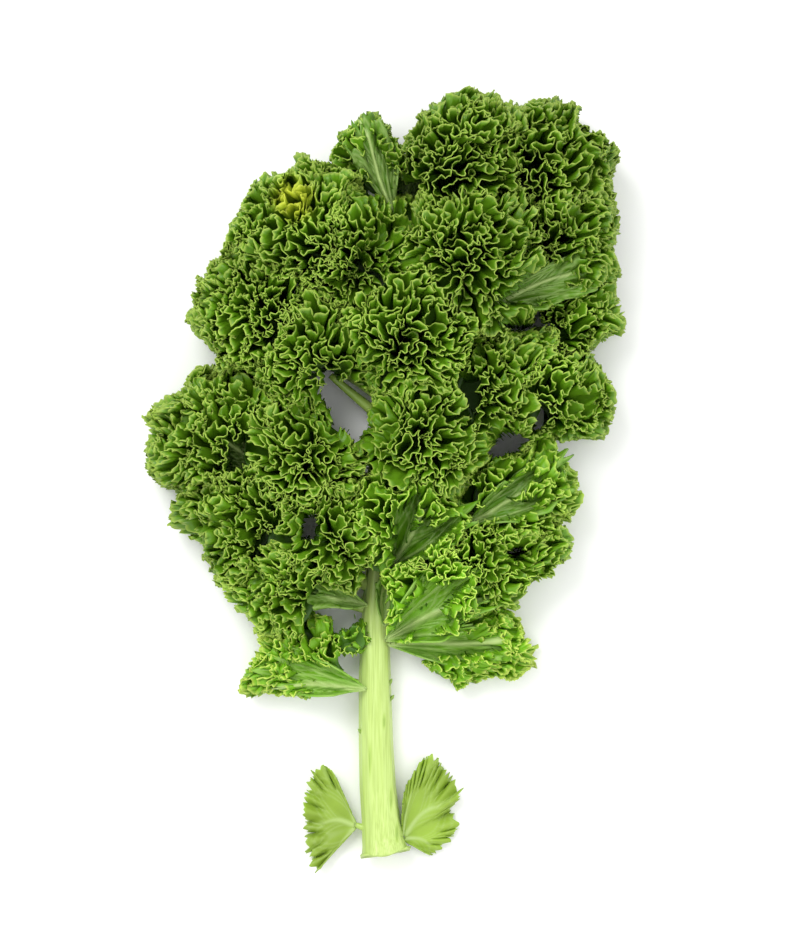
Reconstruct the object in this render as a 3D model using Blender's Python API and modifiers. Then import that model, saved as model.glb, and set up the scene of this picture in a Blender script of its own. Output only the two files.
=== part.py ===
"""One curly kale leaf, lying flat: a pale stalk with its ribs, and a curled green blade on each lobe.

Working units are millimetres, and the finished objects are scaled to metres.
The leaf lies along Y with its tip towards +Y, and Z is up.
"""
import math

import bmesh
import bpy
import numpy as np
from mathutils import Matrix
from mathutils.bvhtree import BVHTree

# Driving dimensions
LEAF_LENGTH = 360.0      # base of the stalk to the tip of the highest lobe
GRID_STEPS = 780.0       # steps of the layout grid over that length
GRID_MIDDLE = (385.0, 480.0)
STEP = LEAF_LENGTH / GRID_STEPS
WALL = 1.2               # thickness of a blade
CLEARANCE = 0.4          # air between neighbouring blades, and over the ribs
RUFFLE = 11.0            # distance between neighbouring folds of a margin
SEGMENT = 6.6            # length of one straight stretch of a margin
FULLNESS = 1.4           # how much margin an outer lobe grows for its size
INNER_FULLNESS = 2.1     # the same for a lobe over the midrib, which opens straight up
ROWS = (0.14, 0.38, 0.7, 1.0)   # how far out each row of a blade stands
SQUARE = 2.0             # 2 for a round lobe, more for a flatter top and fuller shoulders
LEAFLET_ROWS = (0.4, 0.6, 0.8, 1.0)   # how far out each row of a leaflet stands
LEAFLET_POINTS = 26      # points along a leaflet's margin
LEAFLET_FOLDS = 3.0      # waves along a leaflet's margin
LEAFLET_WAVE = 1.5       # height of those waves
DENT = 0.05              # depth of the hollows between the puffs of one lobe
GRAZE = 0.34
TURN = 0.9
MM = 0.001

# Midrib: across, down (layout grid), height and radius in millimetres
MIDRIB = [
    (386, 858, 9.6, 10.4),
    (383, 842, 8.6, 9.2),
    (381, 820, 8.1, 8.6),
    (378, 790, 7.7, 8.2),
    (376, 740, 8.2, 7.7),
    (375, 680, 9.6, 7.2),
    (375, 640, 10.4, 6.7),
    (376, 600, 10.8, 5.8),
    (380, 550, 11.0, 5.0),
    (386, 490, 11.0, 4.4),
    (390, 430, 11.5, 3.8),
    (389, 370, 12.0, 3.3),
    (387, 310, 12.5, 2.8),
    (386, 250, 13.0, 2.3),
    (382, 200, 13.5, 1.8),
    (376, 165, 14.0, 1.2),
]

# Lobe: name, rib's start on the midrib, centre (grid, grid, mm), half sizes (out, across, up),
# tilt of its opening over the horizon and how far its blade spreads, in degrees
LOBES = [
    ("left_1", 692, (293, 656, 16), (32, 21, 17), 40, 115),
    ("left_2", 650, (348, 632, 20), (9, 8, 9), 45, 115),
    ("left_3", 612, (280, 590, 25), (31, 25, 23), 50, 115),
    ("left_4", 590, (238, 518, 21), (32, 28, 25), 52, 115),
    ("left_5", 560, (327, 535, 32), (30, 28, 26), 82, 122),
    ("left_6", 545, (212, 430, 23), (32, 34, 28), 52, 115),
    ("left_7", 500, (302, 452, 36), (35, 33, 29), 82, 122),
    ("left_8", 425, (318, 365, 40), (34, 32, 30), 82, 122),
    ("left_9", 400, (248, 305, 30), (29, 34, 33), 55, 116),
    ("left_10", 340, (297, 230, 42), (36, 36, 34), 62, 120),
    ("left_11", 215, (370, 160, 32), (23, 15, 20), 60, 115),
    ("left_12", 300, (362, 258, 30), (34, 34, 24), 82, 120),
    ("right_1", 640, (478, 645, 15), (30, 20, 17), 40, 115),
    ("right_2", 622, (440, 590, 28), (29, 26, 22), 75, 120),
    ("right_3", 600, (510, 560, 21), (30, 24, 23), 50, 115),
    ("right_4", 560, (408, 522, 34), (31, 30, 25), 85, 120),
    ("right_5", 560, (520, 492, 25), (32, 25, 25), 52, 115),
    ("right_6", 485, (422, 438, 40), (34, 33, 28), 85, 122),
    ("right_7", 462, (572, 400, 22), (22, 24, 25), 45, 116),
    ("right_8", 440, (503, 385, 36), (36, 32, 28), 60, 118),
    ("right_9", 392, (408, 340, 48), (40, 40, 34), 85, 122),
    ("right_10", 385, (584, 315, 20), (21, 20, 22), 40, 118),
    ("right_11", 345, (568, 240, 30), (27, 31, 27), 52, 116),
    ("right_12", 320, (474, 260, 46), (44, 40, 33), 82, 122),
    ("right_13", 285, (556, 164, 33), (31, 32, 34), 58, 118),
    ("right_14", 235, (468, 156, 42), (33, 32, 34), 65, 120),
]


# The two flat leaflets at the foot: name, rib's start on the grid, rib's end, then margin points
# in turn, each with grid x, grid y and height
LEAFLETS = (
    ("left_basal", 836, (351, 826, 6.0),
     ((341, 797, 9), (336, 780, 8), (326, 770, 6), (313, 778, 5), (308, 796, 4), (306, 818, 4),
      (307, 840, 4), (311, 858, 4), (317, 871, 3), (326, 862, 5), (335, 851, 6))),
    ("right_basal", 846, (407, 843, 6.0),
     ((402, 818, 8), (404, 797, 9), (412, 779, 8), (424, 763, 6), (436, 763, 6), (446, 776, 5),
      (458, 796, 4), (452, 812, 4), (457, 832, 4), (444, 846, 4), (432, 857, 4), (418, 851, 5))),
)


def unit(v):
    return v / np.linalg.norm(v, axis=-1, keepdims=True)


def place(across, down, height):
    """A point of the layout grid in millimetres."""
    return np.array([(across - GRID_MIDDLE[0]) * STEP, (GRID_MIDDLE[1] - down) * STEP, height])


def midrib_at(down):
    """Centre and radius of the midrib at one line of the layout grid."""
    rows = np.array(MIDRIB, float)[::-1]
    across = np.interp(down, rows[:, 1], rows[:, 0])
    height = np.interp(down, rows[:, 1], rows[:, 2])
    radius = np.interp(down, rows[:, 1], rows[:, 3])
    return place(across, down, height), radius


class Lobe:
    """The room of one lobe: a dented shell seen from its rib's end, cut back from its neighbours."""

    def __init__(self, name, start, centre, half, tilt, spread, seed):
        self.name = name
        self.seed = seed
        self.base, self.base_radius = midrib_at(start)
        self.centre = place(*centre)
        self.out = unit((self.centre - self.base) * [1, 1, 0])
        side = np.cross([0, 0, 1.0], self.out)
        self.half = np.array(half, float)
        self.stretch = np.stack([self.out, side, [0, 0, 1.0]], 1) * self.half
        self.unstretch = np.linalg.inv(self.stretch)
        self.tilt = tilt
        self.low = tilt < 50
        self.spread = spread
        self.planes = []
        angle = math.radians(tilt)
        back = np.array([-math.cos(angle), 0, -math.sin(angle)])
        self.set_root(self.centre + self.stretch @ (1.04 * back))
        rng = np.random.default_rng(seed + 500)
        self.waves = unit(rng.normal(0, 1, (4, 3))) * np.array([[5.2], [6.1], [6.8], [7.7]])
        self.shifts = rng.uniform(0, 2 * math.pi, 4)

    def set_root(self, root):
        self.root = root
        start = self.unstretch @ (root - self.centre)
        self.reach = np.linalg.norm(start)
        self.pole = -start / self.reach

    def finish(self):
        """Fix how far round the blade may go, and keep only the cuts that reach the lobe."""
        c = np.linspace(1, -0.99, 400)
        square = (1 + self.reach * c) / np.sqrt(1 + self.reach ** 2 + 2 * self.reach * c + 1e-9)
        limit = math.pi
        if (square < GRAZE).any():
            limit = math.acos(c[np.argmax(square < GRAZE)])
        self.cap = min(math.radians(self.spread), limit)
        self.cuts = []
        for normal, at in self.planes:
            room = max(at - normal @ self.root, 0.3)
            if room < normal @ (self.centre - self.root) + self.size(normal):
                self.cuts.append((normal, room))

    def size(self, direction):
        return np.linalg.norm(self.stretch.T @ direction)

    def dents(self, n):
        total = np.sin(n @ self.waves.T + self.shifts).mean(1)
        return 1 - DENT * np.clip(0.5 + 0.9 * total, 0, 1)

    def swell(self, n):
        """Directions lengthened so that the shell has the fullness of SQUARE."""
        level = np.hypot(n[:, 0], n[:, 1]) ** SQUARE + np.abs(n[:, 2]) ** SQUARE
        return n * level[:, None] ** (-1 / SQUARE)

    def reach_to(self, n):
        """Vectors from the rib's end to the shell, and the part of each that the cuts leave."""
        v = self.centre + self.swell(n) @ self.stretch.T - self.root
        part = np.ones(len(n))
        for normal, room in self.cuts:
            rise = v @ normal
            part = np.minimum(part, np.where(rise > 1e-9, room / np.maximum(rise, 1e-9), 1e9))
        return v, part

    def shell(self, n, share):
        v, part = self.reach_to(n)
        part = part * self.dents(n)
        return self.root + share * part[:, None] * v, part

    def back(self, points, share, part):
        """Directions of points that have moved, kept within the lobe's own room."""
        v = (points - self.root) / (share * part[:, None])
        for again in range(2):
            n = unit((v + self.root - self.centre) @ self.unstretch.T)
            v = self.centre + self.swell(n) @ self.stretch.T - self.root
            for normal, room in self.cuts:
                over = np.maximum(v @ normal - room, 0)
                if over.any():
                    v = v - 1.05 * over[:, None] * normal
        n = unit((v + self.root - self.centre) @ self.unstretch.T)
        c = n @ self.pole
        outside = c < math.cos(self.cap)
        if outside.any():
            round_it = unit(n[outside] - c[outside, None] * self.pole)
            n[outside] = math.cos(self.cap) * self.pole + math.sin(self.cap) * round_it
        return n

    def area(self, samples=2500):
        """Area of the shell that the margin can cover."""
        k = np.arange(samples) + 0.5
        z = 1 - 2 * k / samples
        a = math.pi * (1 + 5 ** 0.5) * k
        ring = np.sqrt(1 - z * z)
        n = np.stack([ring * np.cos(a), ring * np.sin(a), z], 1)
        n = n[n @ self.pole > math.cos(self.cap)]
        n = n[self.reach_to(n)[1] > 0.98]
        u = unit(np.cross(n, [0.3, 0.5, 0.8]))
        w = np.cross(n, u)
        tiny = 1e-3
        p = self.shell(n, 1)[0]
        du = (self.shell(unit(n + tiny * u), 1)[0] - p) / tiny
        dw = (self.shell(unit(n + tiny * w), 1)[0] - p) / tiny
        return np.linalg.norm(np.cross(du, dw), axis=1).sum() * 4 * math.pi / samples


def cut_between(lobes):
    """Upright cuts between neighbouring lobes, shared by their sizes."""
    for i, a in enumerate(lobes):
        for b in lobes[i + 1:]:
            between = (b.centre - a.centre) * [1, 1, 0]
            m = unit(between)
            far = np.linalg.norm(between)
            size_a, size_b = a.size(m), b.size(m)
            if far > size_a + size_b + 2:
                continue
            at = m @ a.centre + far * size_a / (size_a + size_b)
            low, high = m @ a.root + 3.0, m @ b.root - 3.0
            at = (low + high) / 2 if low > high else min(max(at, low), high)
            half_gap = (WALL + CLEARANCE) / 2
            a.planes.append((m, at - half_gap))
            b.planes.append((-m, -at - half_gap))


def rib_line(lobe, count=24):
    """Points and radii along the rib that runs from the midrib to a lobe."""
    t = np.linspace(0, 1, count)
    points = lobe.base + t[:, None] * (lobe.root - lobe.base)
    return points, lobe.rib * (1 - 0.5 * t)


def cut_over_ribs(lobes):
    """Each blade ends above the ribs that pass under it, or above the ground."""
    midrib = [midrib_at(down) for down in np.linspace(160, 858, 120)]
    mid_points = np.array([p for p, r in midrib])
    mid_radii = np.array([r for p, r in midrib])
    for lobe in lobes:
        lobe.rib = 1.6 + 0.035 * np.linalg.norm(lobe.root - lobe.base)
    for lobe in lobes:
        lift = WALL / 2
        lines = [(mid_points, mid_radii, True)]
        for other in lobes:
            if other is not lobe:
                lines.append(rib_line(other) + (False,))
        for points, radii, is_midrib in lines:
            local = (points - lobe.centre) @ lobe.unstretch.T
            inside = np.hypot(local[:, 0], local[:, 1]) < 1 + radii / lobe.half[:2].min()
            for normal, at in lobe.planes:
                inside &= points @ normal < at + radii + WALL / 2 + CLEARANCE
            if not inside.any():
                continue
            if is_midrib and lobe.low:
                away = np.array([math.copysign(1.0, lobe.out[0]), 0, 0])
                at = (points[inside] @ away + radii[inside]).max() + WALL / 2 + CLEARANCE
                lobe.planes.append((-away, -at))
                short = at + 1.5 - lobe.root @ away
                if short > 0:
                    lobe.set_root(lobe.root + short * away)
            else:
                top = (points[inside, 2] + radii[inside]).max()
                lift = max(lift, top + WALL / 2 + CLEARANCE + 0.1)
        lobe.planes.append((np.array([0, 0, -1.0]), -lift))
        if lobe.root[2] < lift + 1.2:
            lobe.set_root(np.array([lobe.root[0], lobe.root[1], lift + 1.2]))


def plan_lobes():
    lobes = [Lobe(*row, seed=13 + k) for k, row in enumerate(LOBES)]
    cut_between(lobes)
    cut_over_ribs(lobes)
    for lobe in lobes:
        lobe.finish()
    return lobes


class Leaflet:
    """A flat leaflet at the foot of the stalk, spread like a fan from its rib's end."""

    def __init__(self, name, start, root, margin):
        self.name = name
        self.base, self.base_radius = midrib_at(start)
        self.root = place(*root)
        self.margin = np.array([place(*row) for row in margin])
        self.rib = 2.4


def along_points(points, count):
    """Points in even steps along a smooth line through the given ones."""
    full = np.concatenate([2 * points[:1] - points[1:2], points, 2 * points[-1:] - points[-2:-1]])
    t = np.linspace(0, len(points) - 1, count)
    k = np.minimum(t.astype(int), len(points) - 2)
    f = (t - k)[:, None]
    a, b, c, d = full[k], full[k + 1], full[k + 2], full[k + 3]
    return b + 0.5 * f * (c - a + f * (2 * a - 5 * b + 4 * c - d + f * (3 * (b - c) + d - a)))


def fan_rows(root, margin, shares, count, folds, wave, bulge):
    """Rows of a fan from its root to its waved margin, which stay above the ground."""
    rows = []
    for share in shares:
        here = max(5, int(count * share ** 1.6))
        t = np.linspace(0, 1, here)
        swing = np.sin(2 * math.pi * folds * t) + 0.5 * np.sin(2 * math.pi * 1.7 * folds * t + 1.0)
        row = root + share * (along_points(margin, here) - root)
        row[:, 2] += bulge * 4 * share * (1 - share) + wave * share ** 2.5 * swing
        row[:, 2] = np.maximum(row[:, 2], WALL / 2 + 0.1)
        rows.append(row)
    return rows


def near_pairs(x, reach, rest):
    """Pairs of points of one margin that are closer than neighbouring folds may be."""
    cell = np.floor((x - x.min(0)) / reach).astype(np.int64) + 1
    span = cell.max(0) + 3
    key = (cell[:, 0] * span[1] + cell[:, 1]) * span[2] + cell[:, 2]
    order = np.argsort(key, kind="stable")
    keys = key[order]
    firsts, seconds = [], []
    for i in (-1, 0, 1):
        for j in (-1, 0, 1):
            base = key + (i * span[1] + j) * span[2]
            lo = np.searchsorted(keys, base - 1, "left")
            many = np.searchsorted(keys, base + 1, "right") - lo
            total = many.sum()
            if not total:
                continue
            first = np.repeat(np.arange(len(x)), many)
            start = np.repeat(np.cumsum(many) - many, many)
            second = order[np.arange(total) - start + np.repeat(lo, many)]
            keep = second - first > 1
            firsts.append(first[keep])
            seconds.append(second[keep])
    a, b = np.concatenate(firsts), np.concatenate(seconds)
    d = x[a] - x[b]
    dist = np.sqrt((d ** 2).sum(1))
    along = (b - a) * rest
    wanted = reach * np.sin(np.minimum(along / reach, math.pi / 2)) * TURN
    wanted[along > 1.6 * reach] = reach
    keep = dist < wanted
    return a[keep], b[keep], d[keep], dist[keep], wanted[keep]


def doubled(row):
    """A row of directions with one more halfway along each stretch."""
    out = np.empty((len(row) * 2 - 1, 3))
    out[::2] = row
    out[1::2] = (row[:-1] + row[1:]) / 2
    return unit(out)


def push_apart(x, spacing, rest):
    a, b, d, dist, wanted = near_pairs(x, spacing, rest)
    if not len(a):
        return
    push = d / (dist[:, None] + 1e-9) * ((wanted - dist) * 0.45)[:, None]
    hits = np.bincount(a, minlength=len(x)) + np.bincount(b, minlength=len(x))
    for c in range(3):
        moved = np.bincount(a, push[:, c], len(x)) - np.bincount(b, push[:, c], len(x))
        x[:, c] += moved / np.maximum(1, hits) ** 0.5


def grow(lobe, spacing, segment, rows, fullness, steps=200, bend=0.3, noise=0.03):
    """Grow a lobe's margin outwards: it lengthens faster than its room, so it folds."""
    rng = np.random.default_rng(lobe.seed)
    start = rows[0]
    full = fullness * lobe.area() / spacing
    side = unit(lobe.unstretch @ np.cross([0, 0, 1.0], lobe.out))
    side = unit(side - (side @ lobe.pole) * lobe.pole)
    half = min(lobe.cap * 0.92, math.radians(85))
    segments = full / segment
    doublings = max(0, int(math.log2(max(1, segments / 5))))
    count = max(4, int(math.ceil(segments / 2 ** doublings))) + 1
    angle = np.linspace(-half, half, count)[:, None]
    n = np.cos(angle) * lobe.pole + np.sin(angle) * side
    x, part = lobe.shell(n, start)
    first = np.linalg.norm(np.diff(x, axis=0), axis=1).sum()
    stops = {int(round((r - start) / (1 - start) * steps)) for r in rows}
    out = []
    for step in range(steps + 1):
        share = start + (1 - start) * step / steps
        grown = (share ** 2 - start ** 2) / (1 - start ** 2)
        length = first + max(0, full - first) * grown
        while length / (len(n) - 1) > segment * 1.001:
            n = doubled(n)
        rest = length / (len(n) - 1)
        x, part = lobe.shell(n, share)
        x = x + rng.normal(0, noise * rest, x.shape)
        for again in range(4):
            d = np.diff(x, axis=0)
            long = np.linalg.norm(d, axis=1, keepdims=True)
            pull = 0.45 * d * (1 - rest / np.maximum(long, 1e-9))
            x[:-1] += pull
            x[1:] -= pull
        k = max(1, int(round(0.3 * spacing / rest)))
        if len(x) > 2 * k + 1:
            x[k:-k] += bend * ((x[2 * k:] + x[:-2 * k]) / 2 - x[k:-k])
        if len(x) > 4:
            push_apart(x, spacing, rest)
        n = lobe.back(x, share, part)
        if step in stops:
            out.append(lobe.shell(n, share)[0])
    return out


def triangles_between(rows):
    """Triangles of a sheet whose rows may have different numbers of points."""
    faces = []
    base = 0
    for a, b in zip(rows[:-1], rows[1:]):
        n, m = len(a), len(b)
        i = j = 0
        while i < n - 1 or j < m - 1:
            step_inner = i < n - 1 and (i + 1) / (n - 1) <= (j + 1) / (m - 1) - 1e-9
            if j >= m - 1 or step_inner:
                faces.append((base + i, base + i + 1, base + n + j))
                i += 1
            else:
                faces.append((base + i, base + n + j + 1, base + n + j))
                j += 1
        base += n
    return faces


def crossings(rows, faces):
    """How many pairs of a sheet's triangles cut each other."""
    tree = BVHTree.FromPolygons([tuple(p) for p in np.concatenate(rows)], faces)
    pairs = [(a, b) for a, b in tree.overlap(tree) if a < b]
    return sum(1 for a, b in pairs if not set(faces[a]) & set(faces[b]))


def clean_growth(lobe, tries=8):
    """Grow a lobe from one start after another, and keep the one that crosses itself least."""
    best = None
    first_seed = lobe.seed
    fullness = INNER_FULLNESS if lobe.tilt > 70 else FULLNESS
    for again in range(tries):
        lobe.seed = first_seed + 100 * again
        rows = grow(lobe, RUFFLE, SEGMENT, ROWS, fullness)
        faces = triangles_between(rows)
        count = crossings(rows, faces)
        if best is None or count < best[0]:
            best = (count, rows, faces)
        if count == 0:
            break
    return best[1], best[2]


def leaf_collection():
    collection = bpy.data.collections.new("curly_kale_leaf")
    bpy.context.scene.collection.children.link(collection)
    return collection


def material(name, colour, roughness):
    mat = bpy.data.materials.new(name)
    mat.use_nodes = True
    shader = mat.node_tree.nodes["Principled BSDF"]
    shader.inputs["Base Color"].default_value = (*colour, 1.0)
    shader.inputs["Roughness"].default_value = roughness
    return mat


def new_object(name, points, faces, collection):
    mesh = bpy.data.meshes.new(name)
    mesh.from_pydata([tuple(float(c) for c in p) for p in points], [], [tuple(f) for f in faces])
    mesh.update()
    obj = bpy.data.objects.new(name, mesh)
    collection.objects.link(obj)
    return obj


def baked(obj):
    """Put an object's modifiers into its own mesh."""
    graph = bpy.context.evaluated_depsgraph_get()
    mesh = bpy.data.meshes.new_from_object(obj.evaluated_get(graph))
    obj.modifiers.clear()
    old = obj.data
    obj.data = mesh
    mesh.name = obj.name
    bpy.data.meshes.remove(old)


def blade(lobe, collection):
    """One lobe's blade, a folded sheet with a real thickness."""
    rows, faces = clean_growth(lobe)
    return sheet_object(lobe.name, np.concatenate(rows), faces, (0.105, 0.235, 0.032), collection)


def leaflet(one, collection):
    """One flat leaflet at the foot, a waved sheet with a real thickness."""
    rows = fan_rows(one.root, one.margin, LEAFLET_ROWS, LEAFLET_POINTS, LEAFLET_FOLDS, LEAFLET_WAVE, 1.5)
    faces = triangles_between(rows)
    return sheet_object(one.name, np.concatenate(rows), faces, (0.19, 0.37, 0.06), collection)


def sheet_object(name, points, faces, green, collection):
    obj = new_object(name + "_blade", points, faces, collection)
    solid = obj.modifiers.new("wall", "SOLIDIFY")
    solid.thickness = WALL
    solid.offset = 0.0
    solid.use_rim = True
    baked(obj)
    obj.data.materials.clear()
    obj.data.materials.append(material(name + "_green", green, 0.45))
    return obj


def tube(name, points, radii, sides, collection, floor=None, end_shape=None):
    """A closed tube along points, with flats and capped ends."""
    points = np.array(points, float)
    verts = []
    for k, (p, r) in enumerate(zip(points, radii)):
        ahead = unit(points[min(k + 1, len(points) - 1)] - points[max(k - 1, 0)])
        side = unit(np.cross([0, 0, 1.0], ahead))
        up = np.cross(ahead, side)
        for s in range(sides):
            a = 2 * math.pi * s / sides
            q = p + r * (math.cos(a) * side + math.sin(a) * up)
            if floor is not None:
                q[2] = max(q[2], floor)
            verts.append(q)
    if end_shape:
        end_shape(verts, sides)
    faces = []
    for k in range(len(points) - 1):
        for s in range(sides):
            t = (s + 1) % sides
            a, b = k * sides + s, k * sides + t
            faces.append((a, b, b + sides, a + sides))
    faces.append(tuple(range(sides))[::-1])
    last = (len(points) - 1) * sides
    faces.append(tuple(range(last, last + sides)))
    obj = new_object(name, verts, faces, collection)
    mesh = bmesh.new()
    mesh.from_mesh(obj.data)
    bmesh.ops.recalc_face_normals(mesh, faces=mesh.faces)
    mesh.to_mesh(obj.data)
    mesh.free()
    return obj


def torn_base(verts, sides):
    """The broken end of the stalk curves back at its sides."""
    for s in range(sides):
        a = 2 * math.pi * s / sides
        verts[s][1] += 2.6 * math.cos(a) ** 2 + 0.7 * math.sin(3 * a)


def rib(lobe, collection):
    """One side rib, from inside the midrib to just short of its blade."""
    points, radii = rib_line(lobe, 4)
    ahead = unit(lobe.root - lobe.base)
    points[-1] = lobe.root - ahead * (radii[-1] + WALL / 2 + CLEARANCE)
    return tube(lobe.name + "_rib", points, radii, 6, collection)


def stalk(lobes, collection):
    """The petiole, midrib and side ribs as one solid."""
    down = [row[1] for row in MIDRIB]
    line = [midrib_at(d) for d in down]
    points = [p for p, r in line]
    radii = [r for p, r in line]
    obj = tube("stalk", points, radii, 10, collection, floor=0.0, end_shape=torn_base)
    extra = bpy.data.collections.new("ribs")
    bpy.context.scene.collection.children.link(extra)
    for lobe in lobes:
        rib(lobe, extra).hide_render = True
    join = obj.modifiers.new("ribs", "BOOLEAN")
    join.operation = "UNION"
    join.solver = "EXACT"
    join.operand_type = "COLLECTION"
    join.collection = extra
    baked(obj)
    for piece in list(extra.objects):
        bpy.data.objects.remove(piece)
    bpy.data.collections.remove(extra)
    mesh = bmesh.new()
    mesh.from_mesh(obj.data)
    bmesh.ops.remove_doubles(mesh, verts=mesh.verts, dist=0.001)
    bmesh.ops.triangulate(mesh, faces=mesh.faces)
    mesh.to_mesh(obj.data)
    mesh.free()
    obj.data.materials.clear()
    obj.data.materials.append(material("stalk_pale_green", (0.50, 0.62, 0.24), 0.4))
    return obj


def to_metres(objects):
    """Stand the leaf on the ground, centre it and scale it to metres."""
    corners = np.array([v.co for obj in objects for v in obj.data.vertices])
    low, high = corners.min(0), corners.max(0)
    shift = Matrix.Translation((-(low[0] + high[0]) / 2, -(low[1] + high[1]) / 2, -low[2]))
    for obj in objects:
        obj.data.transform(Matrix.Scale(MM, 4) @ shift)
        obj.data.update()


def main():
    for obj in list(bpy.data.objects):
        bpy.data.objects.remove(obj)
    collection = leaf_collection()
    lobes = plan_lobes()
    leaflets = [Leaflet(*row) for row in LEAFLETS]
    objects = [stalk(leaflets + lobes, collection)]
    for one in leaflets:
        objects.append(leaflet(one, collection))
    for lobe in lobes:
        objects.append(blade(lobe, collection))
    to_metres(objects)


main()
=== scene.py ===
"""One curly kale leaf on a pale floor: the dressed leaf over its plain solids."""
import math

import bpy
import numpy as np
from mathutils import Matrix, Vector


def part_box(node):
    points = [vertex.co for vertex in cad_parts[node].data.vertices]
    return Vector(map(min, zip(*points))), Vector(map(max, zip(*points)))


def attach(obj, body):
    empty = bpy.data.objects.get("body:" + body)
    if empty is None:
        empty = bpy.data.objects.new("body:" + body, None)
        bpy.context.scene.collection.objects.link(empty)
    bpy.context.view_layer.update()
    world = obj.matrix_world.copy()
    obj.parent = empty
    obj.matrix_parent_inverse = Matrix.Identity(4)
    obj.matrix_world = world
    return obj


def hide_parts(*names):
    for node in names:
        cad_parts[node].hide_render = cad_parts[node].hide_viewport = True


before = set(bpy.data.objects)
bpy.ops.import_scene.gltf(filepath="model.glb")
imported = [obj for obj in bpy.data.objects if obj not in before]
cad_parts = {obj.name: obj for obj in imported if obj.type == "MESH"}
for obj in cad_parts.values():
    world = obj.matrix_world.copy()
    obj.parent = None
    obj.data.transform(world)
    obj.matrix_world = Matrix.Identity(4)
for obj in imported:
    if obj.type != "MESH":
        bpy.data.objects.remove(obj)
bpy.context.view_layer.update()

bl_info = {
    "name": "Curly kale leaf",
    "version": (1, 0, 0),
    "blender": (4, 5, 0),
    "location": "View3D > Sidebar > Leaf",
    "description": "Grows the curled blades of a kale leaf over its ribs",
    "category": "Object",
}

# Layout: the leaf's length in millimetres and in grid steps, and the grid's middle
LEAF_LENGTH = 360.0
GRID_STEPS = 780.0
GRID_MIDDLE = (385.0, 480.0)
STEP = LEAF_LENGTH / GRID_STEPS
MM = 0.001

# Solids' wall and the gap between them, in millimetres
WALL = 1.2
CLEARANCE = 0.4

# Growth: fullness of a lobe's shoulders, how flat a margin may graze its shell, how tightly it may
# turn, and how far out the kept rows lie
SQUARE = 2.8
GRAZE = 0.34
TURN = 0.9
ROWS = (0.1, 0.3, 0.5, 0.68, 0.82, 0.93, 1.0)

# Width of the clefts that a puff bridges, in millimetres, height of the plain leaf under the folds
# beside them, and how much fuller lobes grow that open upwards
CLOSING = 14.0
UNDERLEAF = 0.45
UPWARD_FULLNESS = 1.25

# Lobes that grow together as one puff
PUFFS = (
    ("right_13", "right_14", "right_11"),
    ("right_12", "right_9", "right_6"),
    ("left_10", "left_9", "left_12", "left_8"),
    ("left_11",),
    ("left_6", "left_4", "left_7", "left_5", "left_3"),
    ("left_1", "left_2"),
    ("right_8", "right_7", "right_10"),
    ("right_5", "right_3", "right_4", "right_2"),
    ("right_1",),
)

# Openings in the leaf: grid x and y of the middle, half sizes in grid steps, turn in degrees, and how
# much wider and how far sunk they are below
OPENINGS = (
    (347, 405, 15, 26, 30, 1.3),
    (506, 444, 18, 9, 20, 1.0),
    (522, 328, 26, 5, 0, 0.4),
    (562, 243, 7, 6, 0, 0.0),
    (311, 528, 9, 14, 0, 0.4),
    (343, 622, 14, 10, 30, 0.0),
    (515, 553, 9, 6, 0, 0.4),
)

# Slits, painted on the stalk as dark green shade with no cut, and torn stubs on the stalk: grid x and y,
# then half sizes, or height, reach and direction
SLITS = (
    (384, 722, 2.0, 9), (397, 834, 2.0, 12), (391, 800, 1.6, 14), (370, 760, 1.4, 20),
)
NUBS = (
    (365, 736, 9.0, 3.4, 160), (387, 702, 9.0, 3.4, 20),
    (366, 752, 7.0, 2.6, 190), (386, 688, 10.0, 3.6, 40),
)

# Smooth stretches of leaf between the folds: the lobe they belong to, rib's end (grid, grid, mm), far
# end on the grid, half spread in degrees, height beside the folds, the main vein's place and width in
# millimetres, and tone: the place on the blade's colour ramp, whose dark end is painted shade, so that
# the low tones of the fans set in deep clefts paint those clefts' shade
FANS = (
    ("right_2", (384, 641, 16), (474, 584), 33, 0.62, -0.15, 2.6, 0.66),
    ("right_1", (386, 645, 15), (498, 648), 17, 0.6, 0.3, 2.6, 0.64),
    ("left_1", (368, 690, 14), (270, 664), 22, 0.6, 0.5, 2.4, 0.64),
    ("right_4", (384, 628, 13), (396, 574), 30, 0.36, 0.2, 1.6, 0.7),
    ("right_4", (391, 566, 20), (446, 494), 40, 0.66, 0.1, 1.3, 0.5),
    ("right_5", (466, 524, 26), (558, 478), 24, 0.66, 0.0, 1.5, 0.56),
    ("right_8", (490, 308, 40), (586, 272), 24, 0.68, 0.1, 1.2, 0.6),
    ("left_11", (394, 216, 32), (367, 128), 22, 0.72, 0.2, 1.2, 0.5),
    ("left_12", (396, 228, 18), (412, 164), 30, 0.45, 0.0, 1.2, 0.3),
    ("left_6", (266, 474, 14), (220, 436), 40, 0.4, 0.0, 1.2, 0.35),
    ("right_8", (450, 424, 14), (488, 362), 34, 0.4, 0.0, 1.2, 0.3),
    ("left_3", (368, 606, 13), (312, 590), 26, 0.45, 0.0, 2.2, 0.66),
)

# Where the outline is pushed in or out: grid place, reach, then the way right and down in grid steps
PUSHES = (
    (222, 185, 36, 28, 8), (275, 155, 26, 8, 12), (200, 250, 28, 8, 0), (182, 320, 30, 12, 0),
    (194, 362, 22, 20, 0), (165, 395, 24, 14, 3), (180, 548, 24, 16, 0), (236, 632, 26, 32, 2),
    (470, 78, 34, 0, 12), (360, 108, 24, 6, 7), (418, 128, 24, 10, 4), (600, 112, 30, -16, 8),
    (630, 175, 30, -12, 0), (632, 250, 24, -18, 0), (618, 352, 20, -20, 0), (584, 460, 18, -16, 0),
    (552, 602, 24, -24, -8), (515, 596, 18, -8, -4), (565, 446, 24, -4, -14), (616, 412, 20, -8, 0),
    (254, 690, 20, -8, 12), (322, 696, 26, 0, -10), (480, 690, 24, -14, 0),
)

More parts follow.
